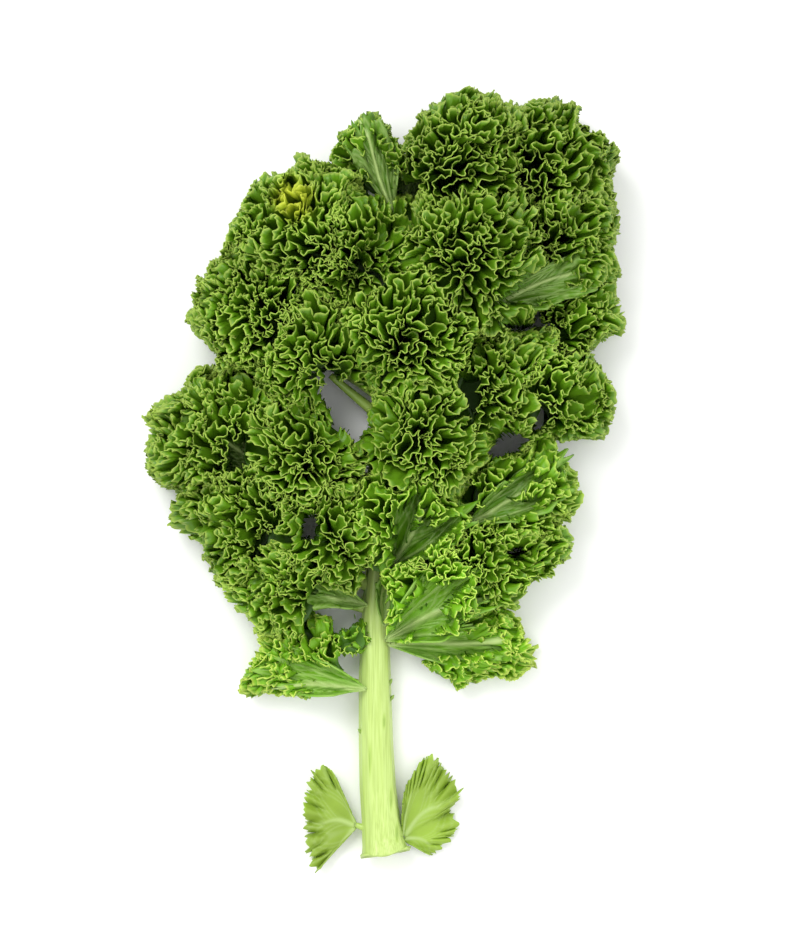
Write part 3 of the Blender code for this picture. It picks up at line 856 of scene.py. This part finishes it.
def leaflet_part(one, seed):
    """A flat leaflet with a notched, crimped margin."""
    rng = np.random.default_rng(seed)
    one.root = place(*LEAFLET_ROOTS[one.name])
    length = np.linalg.norm(np.diff(one.margin, axis=0), axis=1).sum()
    count = int(length / 0.4)
    step = length / count
    slow, ripple, fine = [smooth_noise(count, reach / step, rng) for reach in (9, 2.4, 0.8)]
    t_full = np.linspace(0, 1, count)
    rows, out, vein = [], [], []
    for share in np.concatenate([np.linspace(0.05, 0.7, 16), np.linspace(0.74, 1.0, 10)]):
        here = max(10, int(count * min(1, share + 0.1)))
        t = np.linspace(0, 1, here)
        edge = along_points(one.margin, here)
        row = one.root + share * (edge - one.root)
        across = unit(np.gradient(edge, axis=0))
        big, small, tiny = [np.interp(t, t_full, wave) for wave in (slow, ripple, fine)]
        late = max(0.0, (share - 0.6) / 0.4)
        row += unit(edge - one.root) * (late ** 2 * (1.0 * tiny + 0.9 * small))[:, None]
        row += across * (late ** 2 * 1.3 * np.roll(small, 4))[:, None]
        row[:, 2] += 4 * share * (1 - share) + 1.2 * big * share ** 1.5 + 2.2 * small * late
        near = np.zeros(here)
        for at in LEAFLET_VEINS:
            gap = np.abs(t - at + 0.04 * math.sin(5 * share + at)) * length * share
            near = np.maximum(near, (1 - 0.6 * share) * np.exp(-(gap / (1.1 - 0.8 * share)) ** 2))
            for begin in (0.2, 0.35, 0.5, 0.65):
                for way in (-1, 1):
                    gap = np.abs(t - at - way * 0.25 * (share - begin)) * length * share
                    if share > begin:
                        near = np.maximum(near, 0.3 * np.exp(-(gap / 0.35) ** 2))
        row[:, 2] = np.maximum(row[:, 2] + 0.5 * near * (1 - share), 0.4)
        rows.append(row)
        out.append(np.full(here, share))
        vein.append(near)
    out, vein = np.concatenate(out), np.concatenate(vein)
    faces = np.array(triangles_between(rows))
    thickness = np.interp(out, [0, 0.6, 1], [1.0, 0.7, 0.45])
    solid, tris, _ = thick_sheet(np.concatenate(rows), faces, thickness)
    return solid, tris, np.concatenate([out, out]), np.concatenate([vein, vein])


def joined(parts):
    """Several solids as one, with their two shades."""
    solids, faces, out, vein, base = [], [], [], [], 0
    for solid, tris, one, two in parts:
        solids.append(solid)
        faces.append(tris + base)
        out.append(one)
        vein.append(two)
        base += len(solid)
    return np.concatenate(solids), np.concatenate(faces), np.concatenate(out), np.concatenate(vein)


def leaflet_object(one, seed, props, shift):
    name = one.name
    solid, tris, out, vein = leaflet_part(one, seed)
    obj = mesh_object("leaf_" + name, solid, tris, shift)
    add_attribute(obj, "outward", out)
    add_attribute(obj, "vein", vein)
    obj.data.materials.append(leaflet_material(name, props))
    dressed(obj, name)
    return obj


def dressed(obj, name):
    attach(obj, "root")
    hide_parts(name + "_blade")


def curled(lobe, rows):
    """Uneven heights, small frills and teeth for a grown sheet, and how far out each point is."""
    rng = np.random.default_rng(lobe.seed + 900)
    count = len(rows[-1])
    rest = np.linalg.norm(np.diff(rows[-1], axis=0), axis=1).mean()
    low = smooth_noise(count, 22 / rest, rng)
    mid = smooth_noise(count, 5 / rest, rng)
    tooth = smooth_noise(count, 1.1 / rest, rng)
    short = 0.06 * np.clip(0.3 + 0.5 * low, 0, 1.4) + 0.05 * np.clip(0.4 + 0.6 * mid, 0, 1.6)
    frill = smooth_noise(count, 1.5 / rest, rng)
    t = np.linspace(0, 1, count)
    new_rows, out = [], []
    for share, row in zip(ROWS, rows):
        here = np.linspace(0, 1, len(row))
        drop = np.interp(here, t, short) * share ** 2
        if share > 0.96:
            far = np.linalg.norm(row - lobe.root, axis=1)
            drop = drop + np.interp(here, t, np.clip(tooth, -0.6, 1.6)) * 0.8 / far
        moved = lobe.root + (row - lobe.root) * (1 - np.maximum(drop, 0))[:, None]
        new_rows.append(moved)
        out.append(np.full(len(row), share))
    return new_rows, np.concatenate(out), frill


def underleaf(lobe):
    """The plain stretch of leaf under a lobe's folds: points and triangles of a thin bowl."""
    reach = 0.84 if lobe.opens_upwards else 0.68
    rings, spokes = 8, 44
    turn = 2 * math.pi * np.arange(spokes + 1) / spokes
    share = np.linspace(0.06, reach, rings)
    grid = np.stack([share[:, None] * np.cos(turn), share[:, None] * np.sin(turn),
                     np.zeros((rings, spokes + 1))], 2).reshape(-1, 3)
    points = lobe.centre + grid @ lobe.stretch.T
    own, out, _ = own_height(lobe, points)
    foot = max(lobe.root[2] + 1.0, 2.0)
    points[:, 2] = foot + UNDERLEAF * np.maximum(own - foot, 0) * (0.4 + 0.6 * out ** 2)
    for normal, room in lobe.cuts:
        if abs(normal[2]) < 0.5:
            over = np.maximum((points - lobe.root) @ normal - room, 0)
            points = points - over[:, None] * normal
    faces = np.array(triangles_between(list(points.reshape(rings, spokes + 1, 3))))[:, ::-1]
    return points, faces


def thinned(row):
    """A row with half its points, which keeps both ends."""
    return row[np.round(np.linspace(0, len(row) - 1, len(row) // 2 + 1)).astype(int)]


def blade_object(lobe, puffs, fans, props, shift):
    lobe.cuts = [(m, room + props.overlap / MM * (abs(m[2]) < 0.5)) for m, room in lobe.cuts]
    full = props.fullness * (UPWARD_FULLNESS if lobe.opens_upwards else 1.0)
    rows = grow(lobe, props.ruffle / MM, props.segment / MM, ROWS, full)
    rows = [thinned(row) if share < 0.9 and len(row) > 60 else row for share, row in zip(ROWS, rows)]
    faces = np.array(triangles_between(rows))
    rows, out, frill = curled(lobe, rows)
    points = np.concatenate(rows)
    if lobe.name in puffs:
        puffs[lobe.name].raised(lobe, points, out)
    uneven(points, out ** 2)
    n = vertex_normals(points, faces)
    t = np.linspace(0, 1, len(rows[-1]))
    wave = np.concatenate([np.interp(np.linspace(0, 1, len(r)), t, frill) for r in rows])
    points = points + n * (wave * 0.8 * out ** 5)[:, None]
    above_ground(points)
    thickness = np.interp(out, [0, 0.5, 1], [1.0, 0.6, props.edge / MM])
    solid, tris, used = thick_sheet(points, left_standing(points, faces, fans), thickness)
    outward = np.concatenate([out[used], out[used]])
    parts = [(solid, tris, outward, np.zeros(len(solid)))]
    sheet, flat_faces = underleaf(lobe)
    uneven(sheet, 0.0)
    above_ground(sheet)
    flat_faces = left_standing(sheet, flat_faces, fans)
    under, under_faces, _ = thick_sheet(sheet, flat_faces, np.full(len(sheet), 0.6))
    # The plain leaf under the folds takes the ramp's dark end: painted shade
    parts.append((under, under_faces, np.full(len(under), 0.3), np.zeros(len(under))))
    parts += [fan.solid() for fan in fans if fan.owner == lobe.name]
    solid, tris, outward, vein = joined(parts)
    solid[:, 2] = np.maximum(solid[:, 2], 0.02)
    obj = mesh_object("leaf_" + lobe.name, solid, tris, shift)
    add_attribute(obj, "outward", outward)
    add_attribute(obj, "vein", vein)
    away = np.linalg.norm((solid[:, :2] - place(*YELLOW[:2], 0.0)[:2]) / STEP, axis=1)
    add_attribute(obj, "yellow", np.clip(1.5 - away / YELLOW[2], 0, 0.75) * np.clip(4 * outward - 3, 0, 1))
    obj.data.materials.append(blade_material(lobe.name, props))
    dressed(obj, lobe.name)
    return obj


def node(tree, kind, x=0, y=0, **values):
    made = tree.nodes.new(kind)
    made.location = (x, y)
    for key, value in values.items():
        setattr(made, key, value)
    return made


def ramp(tree, stops, x, y):
    made = node(tree, "ShaderNodeValToRGB", x, y)
    band = made.color_ramp
    while len(band.elements) < len(stops):
        band.elements.new(0.5)
    for element, (at, colour) in zip(band.elements, stops):
        element.position = at
        element.color = (*colour, 1)
    return made


def leaf_shader(name, dark, middle, margin, props):
    """A leaf's skin: painted shade towards its root, bright along its margin, partly its own lighter edge and
    partly a painted highlight, with a little light let through.
    """
    mat = bpy.data.materials.new(name)
    mat.use_nodes = True
    tree = mat.node_tree
    shader = tree.nodes["Principled BSDF"]
    shader.inputs["Roughness"].default_value = 0.42
    shader.inputs["Specular IOR Level"].default_value = 0.45
    link = tree.links.new
    outward = node(tree, "ShaderNodeAttribute", -900, 200, attribute_name="outward")
    coords = node(tree, "ShaderNodeTexCoord", -1300, -100)
    noise = node(tree, "ShaderNodeTexNoise", -1100, -100)
    noise.inputs["Scale"].default_value = 45.0
    noise.inputs["Detail"].default_value = 4.0
    link(coords.outputs["Object"], noise.inputs["Vector"])
    # Ramp by distance out: painted shade near the root, the walls' own green, and a margin that is partly its
    # own lighter edge and partly a painted highlight
    colours = ramp(tree, [(0.0, dark), (0.4, dark), (0.8, middle), (0.97, middle), (1.0, margin)], -500, 100)
    link(outward.outputs["Fac"], colours.inputs["Fac"])
    tone = node(tree, "ShaderNodeHueSaturation", -250, 100)
    bright = node(tree, "ShaderNodeMapRange", -500, -150)
    bright.inputs["To Min"].default_value = 0.6
    bright.inputs["To Max"].default_value = 1.4
    link(noise.outputs["Fac"], bright.inputs["Value"])
    link(bright.outputs["Result"], tone.inputs["Value"])
    link(colours.outputs["Color"], tone.inputs["Color"])
    yellow = node(tree, "ShaderNodeAttribute", -500, -600, attribute_name="yellow")
    aged = node(tree, "ShaderNodeMix", -150, 300, data_type="RGBA")
    aged.inputs["B"].default_value = (*props.aged_colour, 1)
    link(yellow.outputs["Fac"], aged.inputs["Factor"])
    link(tone.outputs["Color"], aged.inputs["A"])
    vein = node(tree, "ShaderNodeAttribute", -500, -400, attribute_name="vein")
    pale = node(tree, "ShaderNodeMix", -50, 100, data_type="RGBA")
    pale.inputs["B"].default_value = (*props.vein_colour, 1)
    link(vein.outputs["Fac"], pale.inputs["Factor"])
    link(aged.outputs["Result"], pale.inputs["A"])
    link(pale.outputs["Result"], shader.inputs["Base Color"])
    through = node(tree, "ShaderNodeBsdfTranslucent", 100, -200)
    link(pale.outputs["Result"], through.inputs["Color"])
    mix = node(tree, "ShaderNodeMixShader", 350, 100)
    mix.inputs["Fac"].default_value = 0.22
    link(shader.outputs["BSDF"], mix.inputs[1])
    link(through.outputs["BSDF"], mix.inputs[2])
    link(mix.outputs["Shader"], tree.nodes["Material Output"].inputs["Surface"])
    return mat


def blade_material(name, props):
    light = LIGHTER.get(name, 1.0)
    colours = (props.shaded_deep_colour, props.blade_colour, props.edge_and_highlight_colour)
    shades = [tuple(min(0.9, light * c) for c in shade) for shade in colours]
    return leaf_shader(name + "_skin", *shades, props)


def leaflet_material(name, props):
    # The leaflet's margin a quarter brighter: partly its own lighter edge, partly a painted highlight
    inner, outer = tuple(props.leaflet_colour), tuple(min(0.9, 1.25 * c) for c in props.leaflet_colour)
    return leaf_shader(name + "_skin", inner, inner, outer, props)


def stalk_material(props):
    """Pale fibres along the stalk, greener at its sides and along the ribs, partly their own colour and
    partly painted shade, and painted shade in the slits.
    """
    mat = bpy.data.materials.new("stalk_skin")
    mat.use_nodes = True
    tree = mat.node_tree
    shader = tree.nodes["Principled BSDF"]
    shader.inputs["Roughness"].default_value = 0.38
    link = tree.links.new
    coords = node(tree, "ShaderNodeTexCoord", -1100, 0)
    stretch = node(tree, "ShaderNodeMapping", -900, 0)
    stretch.inputs["Scale"].default_value = (300, 9, 300)
    fibres = node(tree, "ShaderNodeTexNoise", -700, 0)
    fibres.inputs["Detail"].default_value = 3.0
    link(coords.outputs["Object"], stretch.inputs["Vector"])
    link(stretch.outputs["Vector"], fibres.inputs["Vector"])
    shades = [tuple(min(0.9, c * light + white) for c in props.stalk_colour)
              for light, white in ((0.86, -0.02), (1, 0), (1.05, 0.06))]
    pale = ramp(tree, [(0.3, shades[0]), (0.5, shades[1]), (0.75, shades[2])], -450, 0)
    link(fibres.outputs["Fac"], pale.inputs["Fac"])
    green = node(tree, "ShaderNodeAttribute", -700, 300, attribute_name="green")
    sides = [(0.0, (0.56, 0.70, 0.26)), (0.5, (0.33, 0.50, 0.06)), (1.0, tuple(props.shaded_deep_colour))]
    tint = ramp(tree, sides, -450, 300)
    link(green.outputs["Fac"], tint.inputs["Fac"])
    mix = node(tree, "ShaderNodeMix", -150, 100, data_type="RGBA")
    link(green.outputs["Fac"], mix.inputs["Factor"])
    link(pale.outputs["Color"], mix.inputs["A"])
    link(tint.outputs["Color"], mix.inputs["B"])
    link(mix.outputs["Result"], shader.inputs["Base Color"])
    return mat


def skinned(rings):
    """Points and triangles of a closed tube."""
    count, sides = rings.shape[:2]
    points = rings.reshape(-1, 3)
    faces = []
    for k in range(count - 1):
        for s in range(sides):
            t = (s + 1) % sides
            a, b, c, d = k * sides + s, k * sides + t, (k + 1) * sides + t, (k + 1) * sides + s
            faces += [(a, b, c), (a, c, d)]
    ends = np.array([rings[0].mean(0), rings[-1].mean(0)])
    n = len(points)
    for s in range(sides):
        t = (s + 1) % sides
        faces.append((n, t, s))
        faces.append((n + 1, (count - 1) * sides + s, (count - 1) * sides + t))
    return np.concatenate([points, ends]), np.array(faces)


def resampled(points, radii, count):
    t = np.linspace(0, 1, len(points))
    u = np.linspace(0, 1, count)
    return np.stack([np.interp(u, t, points[:, k]) for k in range(3)], 1), np.interp(u, t, radii)


def ridged(rings):
    """Raise low ridges along the stalk, which fade out towards the tip."""
    count, sides = rings.shape[:2]
    a = 2 * math.pi * np.arange(sides) / sides
    along = np.linspace(0, 1, count)[:, None]
    swell = 0.05 * np.cos(5 * a + 0.6 + 0.8 * along) + 0.03 * np.cos(9 * a + 2.0 - 1.2 * along)
    middle = rings.mean(1, keepdims=True)
    return middle + (rings - middle) * (1 + swell * (1 - 0.6 * along))[:, :, None]


def stalk_green(points):
    """How green each point of the bare stalk is: its sides, partly their own colour and partly painted shade,
    the slits, painted as shade, and the way to the tip.
    """
    green = np.zeros(len(points))
    # Flanks greener: partly their own colour, partly painted shade on the sides of the round stalk
    side = np.clip((np.abs(points[:, 0] - np.interp(points[:, 1], [-175, -60], [0, -4])) - 4.5) / 4.5, 0, 1)
    green = np.maximum(green, 0.38 * side)
    green = np.maximum(green, 0.5 * np.clip((points[:, 1] + 60) / 60, 0, 1))
    # Slits painted as dark green shade; no cut is made
    for across, down, half_x, half_y in SLITS:
        d = points[:, :2] - place(across, down, 0)[:2]
        q = np.hypot(d[:, 0] / (half_x * STEP), d[:, 1] / (half_y * STEP))
        green = np.maximum(green, 0.75 * np.clip(1.5 - q, 0, 1))
    return green


def nubs():
    """The small torn stubs on the stalk."""
    made = []
    for across, down, height, reach, turn in NUBS:
        start = place(across, down, height)
        way = np.array([math.cos(math.radians(turn)), math.sin(math.radians(turn)), 0.35]) * reach
        hook = [[0, 0, 0], [0, 0.2, 0], [0, 0.8, 0], [0, 1.5, 0.3]]
        line = start + np.array([0, 0.5, 0.8, 1.0])[:, None] * way + hook
        made.append(skinned(tube_rings(line, np.array([1.3, 0.9, 0.8, 0.25]), 10)))
    return made


def stalk_object(lobes, props, shift):
    points, radii = resampled(*midrib_line(), 160)
    rings = ridged(tube_rings(points, radii, 60))
    torn(rings[0])
    flare = 0.12 * np.exp(-np.arange(len(rings)) / 4.0)[:, None]
    rings[..., 0] += flare * (rings[..., 0] - rings[..., 0].mean(1, keepdims=True))
    rings[..., 2] = np.maximum(rings[..., 2], 0)
    all_points, all_faces = skinned(rings)
    base = len(all_points)
    parts, tris, green = [all_points], [all_faces], [stalk_green(all_points)]
    for lobe in plan_leaflets() + lobes:
        p, f = skinned(tube_rings(*resampled(*rib_points(lobe), 12), 14))
        parts.append(p)
        tris.append(f + base)
        away = np.linalg.norm(p - lobe.base, axis=1)
        # Side ribs greener farther out: partly their own colour, partly painted shade where they run under
        # the blades
        green.append(np.clip(0.25 + away / 40, 0, 0.75))
        base += len(p)
    for p, f in nubs():
        parts.append(p)
        tris.append(f + base)
        green.append(np.full(len(p), 0.8))
        base += len(p)
    obj = mesh_object("leaf_stalk", np.concatenate(parts), np.concatenate(tris), shift)
    add_attribute(obj, "green", np.concatenate(green))
    obj.data.materials.append(stalk_material(props))
    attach(obj, "root")
    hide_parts("stalk")
    return obj


def length(title, words, default, low, high):
    return bpy.props.FloatProperty(
        name=title, description=words, default=default, min=low, max=high, subtype="DISTANCE", unit="LENGTH",
        precision=5)


def colour(title, words, default):
    return bpy.props.FloatVectorProperty(
        name=title, description=words, default=default, min=0.0, max=1.0, size=3, subtype="COLOR")


class LeafSettings(bpy.types.PropertyGroup):
    """What a user would change about the leaf."""
    ruffle: length("Ruffle", "Distance between neighbouring folds of a margin", 0.0032, 0.0025, 0.02)
    segment: length("Segment", "Length of one straight stretch of a margin", 0.00105, 0.0005, 0.01)
    overlap: length("Overlap", "How far a blade reaches over its neighbour's border", 0.0045, 0.0, 0.006)
    edge: length("Edge thickness", "Thickness of a blade at its margin", 0.00042, 0.0003, 0.002)
    fullness: bpy.props.FloatProperty(
        name="Fullness", description="How much margin a lobe grows for its size",
        default=1.15, min=0.3, max=2.0, subtype="FACTOR")
    # Painted shade: the dark green of the deep parts of the folds near the rib
    shaded_deep_colour: colour("Deep colour", "Colour of a blade near its rib", (0.058, 0.165, 0.004))
    blade_colour: colour("Blade colour", "Colour of the walls of the folds", (0.138, 0.32, 0.008))
    # The margin's crests: partly their own lighter edge, partly a painted highlight
    edge_and_highlight_colour: colour("Edge colour", "Colour of the margin's crests", (0.41, 0.58, 0.08))
    vein_colour: colour("Vein colour", "Colour of the veins on smooth stretches", (0.50, 0.66, 0.22))
    aged_colour: colour("Aged colour", "Colour of the yellowed patch", (0.72, 0.78, 0.04))
    leaflet_colour: colour("Leaflet colour", "Colour of the two leaflets at the foot", (0.30, 0.46, 0.045))
    stalk_colour: colour("Stalk colour", "Colour of the bare stalk", (0.46, 0.61, 0.16))


class LEAF_OT_stalk(bpy.types.Operator):
    """Build the stalk with its midrib and side ribs"""
    bl_idname = "leaf.stalk"
    bl_label = "Stalk"

    def execute(self, context):
        lobes = plan_lobes()
        stalk_object(lobes, context.scene.leaf_settings, shift_to_frame(lobes))
        return {"FINISHED"}


class LEAF_OT_blades(bpy.types.Operator):
    """Grow the curled blade of every lobe"""
    bl_idname = "leaf.blades"
    bl_label = "Blades"

    def execute(self, context):
        lobes = plan_lobes()
        shift = shift_to_frame(lobes)
        puffs = plan_puffs(lobes)
        fans = [Fan(row, puffs, k) for k, row in enumerate(FANS)]
        for k, one in enumerate(plan_leaflets()):
            leaflet_object(one, 40 + k, context.scene.leaf_settings, shift)
        for lobe in lobes:
            blade_object(lobe, puffs, fans, context.scene.leaf_settings, shift)
        return {"FINISHED"}


class LEAF_OT_stage(bpy.types.Operator):
    """Set the floor, lights and camera"""
    bl_idname = "leaf.stage"
    bl_label = "Stage"

    def execute(self, context):
        scene = context.scene
        scene.view_settings.view_transform = "Standard"
        mesh = bpy.data.meshes.new("floor")
        corners = [(x * FLOOR_HALF, y * FLOOR_HALF, 0) for x, y in ((-1, -1), (1, -1), (1, 1), (-1, 1))]
        mesh.from_pydata(corners, [], [(0, 1, 2, 3)])
        floor = bpy.data.objects.new("floor", mesh)
        scene.collection.objects.link(floor)
        mat = bpy.data.materials.new("floor_white")
        mat.use_nodes = True
        inputs = mat.node_tree.nodes["Principled BSDF"].inputs
        inputs["Base Color"].default_value = (FLOOR_GREY, FLOOR_GREY, FLOOR_GREY, 1)
        inputs["Roughness"].default_value = 0.9
        mesh.materials.append(mat)
        world = bpy.data.worlds.new("studio")
        world.use_nodes = True
        world.node_tree.nodes["Background"].inputs["Color"].default_value = (1, 1, 1, 1)
        world.node_tree.nodes["Background"].inputs["Strength"].default_value = SKY
        scene.world = world
        for name, place_at, power, side in LAMPS:
            light = bpy.data.lights.new(name, "AREA")
            light.energy = power
            light.size = side
            lamp = bpy.data.objects.new(name, light)
            lamp.location = place_at
            lamp.rotation_euler = (-Vector(place_at)).to_track_quat("-Z", "Y").to_euler()
            scene.collection.objects.link(lamp)
        height = PICTURE_HEIGHT * STEP * MM
        camera = bpy.data.cameras.new("camera")
        camera.sensor_fit = "VERTICAL"
        camera.sensor_height = 24.0
        camera.lens = camera.sensor_height * (CAMERA_HEIGHT - FOCUS_HEIGHT) / height
        camera.clip_end = 20.0
        cam = bpy.data.objects.new("camera", camera)
        lobes = plan_lobes()
        middle = (place(*PICTURE_MIDDLE, 0.0) + shift_to_frame(lobes)) * MM
        cam.location = (middle[0], middle[1], CAMERA_HEIGHT)
        scene.collection.objects.link(cam)
        scene.camera = cam
        return {"FINISHED"}


class LEAF_PT_panel(bpy.types.Panel):
    """The leaf's pieces in the sidebar"""
    bl_idname = "LEAF_PT_panel"
    bl_label = "Leaf"
    bl_space_type = "VIEW_3D"
    bl_region_type = "UI"
    bl_category = "Leaf"

    def draw(self, context):
        for name in LeafSettings.__annotations__:
            self.layout.prop(context.scene.leaf_settings, name)
        for name in ("leaf.stalk", "leaf.blades", "leaf.stage"):
            self.layout.operator(name)


CLASSES = (LeafSettings, LEAF_OT_stalk, LEAF_OT_blades, LEAF_OT_stage, LEAF_PT_panel)


def register():
    for cls in CLASSES:
        bpy.utils.register_class(cls)
    bpy.types.Scene.leaf_settings = bpy.props.PointerProperty(type=LeafSettings)


def unregister():
    del bpy.types.Scene.leaf_settings
    for cls in reversed(CLASSES):
        bpy.utils.unregister_class(cls)


def main():
    register()
    bpy.ops.leaf.stalk()
    bpy.ops.leaf.blades()
    bpy.ops.leaf.stage()
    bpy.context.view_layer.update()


if __name__ == "__main__":
    main()
